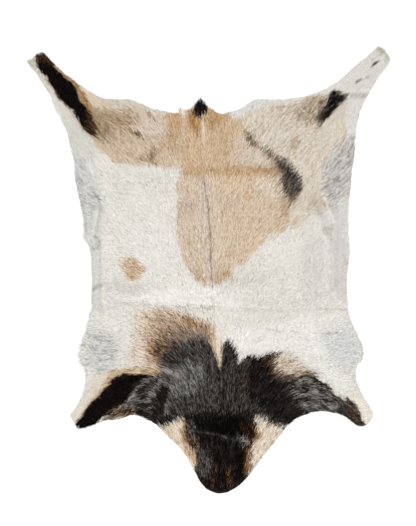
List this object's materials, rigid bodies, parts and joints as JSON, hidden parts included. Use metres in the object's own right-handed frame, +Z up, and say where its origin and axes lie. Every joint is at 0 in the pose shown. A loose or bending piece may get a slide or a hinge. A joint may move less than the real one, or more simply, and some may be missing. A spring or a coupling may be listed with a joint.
{
  "type": "goatskin rug",
  "caption": "Flat hair-on goatskin with splayed leg ends, a tail tuft and a neck flap, lying hair side up; a soft covering for a floor, seat or bench.",
  "frame": {"origin": "on the floor under the middle of the hide's bounding box", "axes": "+Y along the back towards the tail, +X to the right of the hide seen from its hair side, +Z up out of the hair side"},
  "size_m": [0.7281, 0.8961, 0.0127],
  "materials": {
    "hair_on_hide": "dry goat hair lying flat on suede-backed tanned leather, in cream, fawn, ochre and black patches, without gloss"
  },
  "bodies": {
    "root": {"goatskin": "hair_on_hide"}
  },
  "joints": []
}
